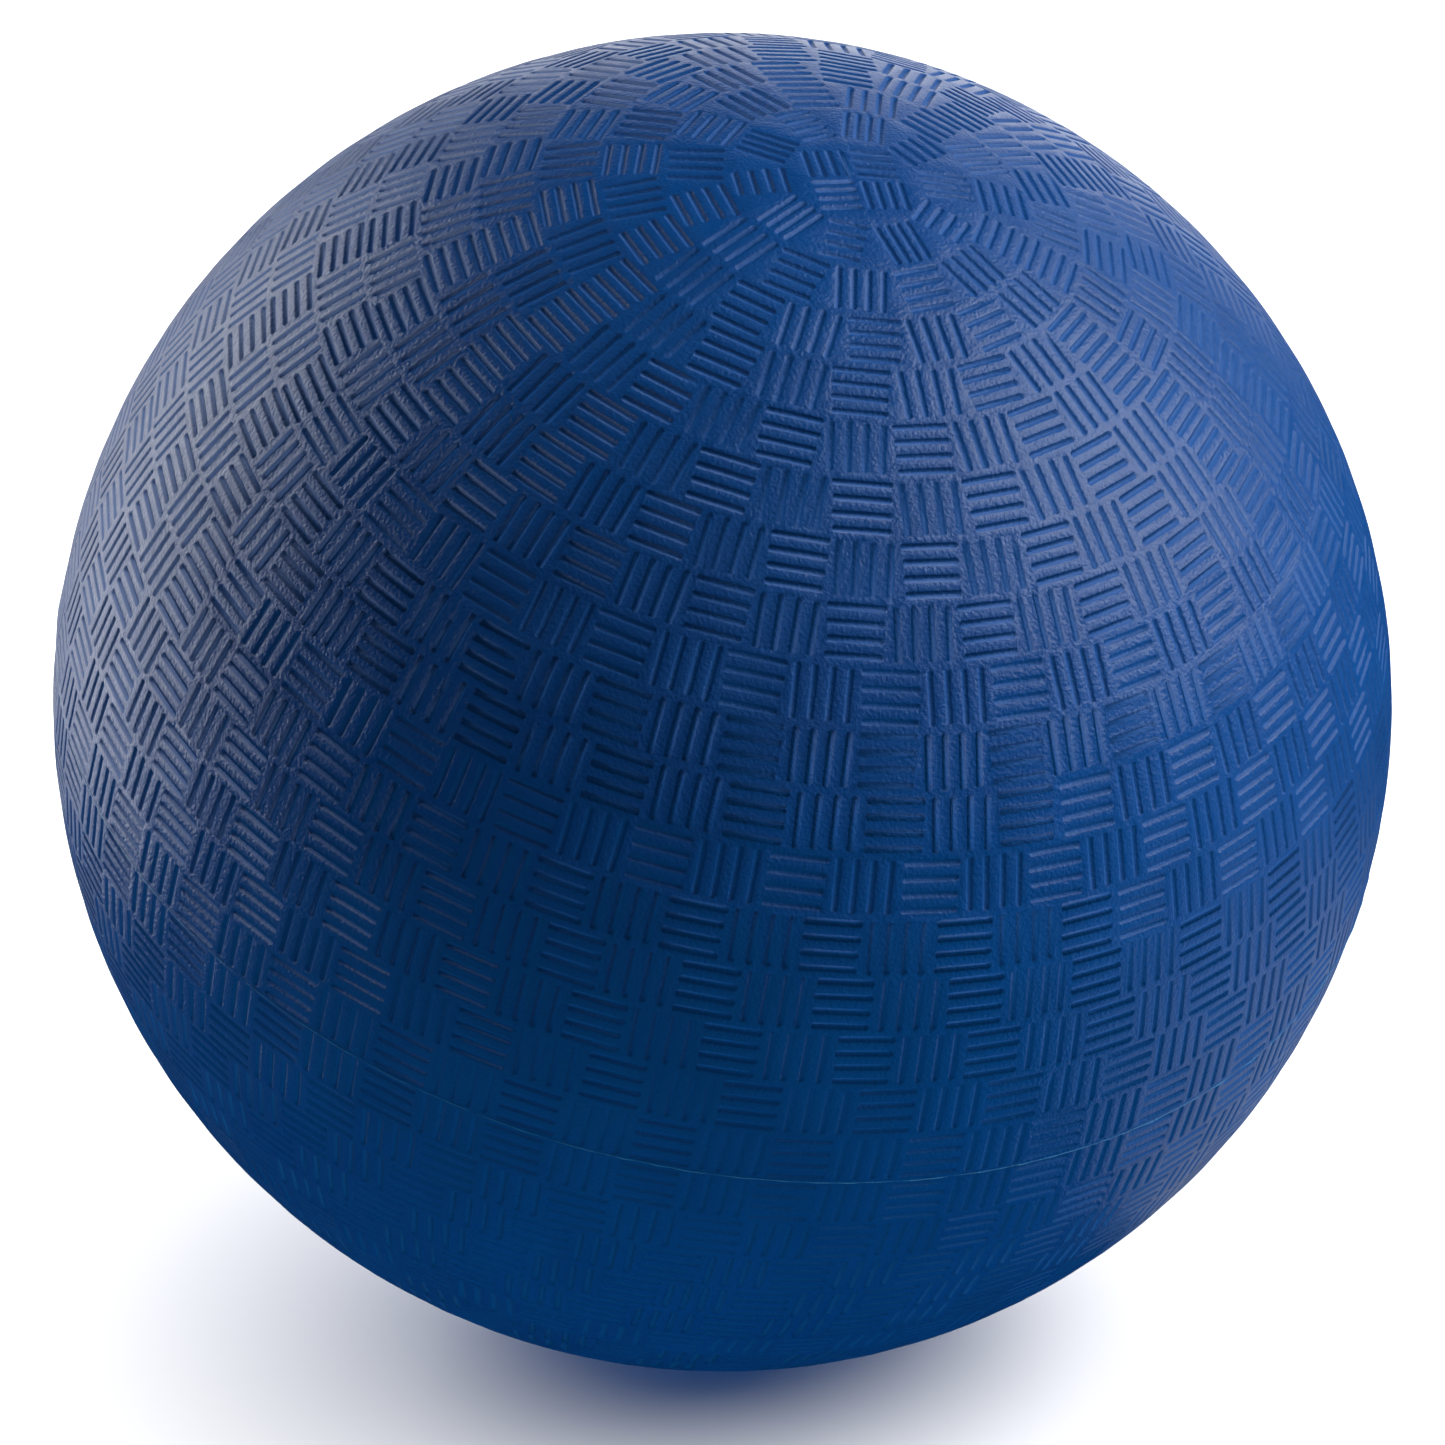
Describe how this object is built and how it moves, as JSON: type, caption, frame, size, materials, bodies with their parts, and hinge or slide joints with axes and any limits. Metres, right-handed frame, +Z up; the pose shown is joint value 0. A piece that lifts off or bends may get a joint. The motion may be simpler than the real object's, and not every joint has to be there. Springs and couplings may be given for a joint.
{
  "type": "playground ball",
  "caption": "Inflated blue rubber playground ball with a non-slip grooved cover, a wound carcass, an inner bladder and a self-sealing needle valve.",
  "frame": {"origin": "centre of the ball", "axes": "+Z up as the ball lies; +Y out through the valve, which the plug leaves along; the axis about which the two cover halves were moulded lies in the YZ plane and leans 23.3 degrees from +Z towards -Y"},
  "size_m": [0.2158, 0.2159, 0.2158],
  "materials": {
    "cover_rubber": "satin, moulded grooves",
    "winding_nylon": "matt",
    "bladder_rubber": "satin",
    "patch_canvas": "matt",
    "valve_rubber": "matt"
  },
  "bodies": {
    "ball": {"cover_upper_half": "cover_rubber", "cover_lower_half": "cover_rubber", "nylon_winding": "winding_nylon", "butyl_bladder": "bladder_rubber", "valve_patch": "patch_canvas", "valve_housing": "valve_rubber"},
    "plug": {"valve_plug": "valve_rubber"}
  },
  "joints": [
    {"name": "plug_slide", "type": "slide", "parent": "ball", "child": "plug", "axis": [0, 1, 0], "range_m": [0, 0.02]}
  ]
}
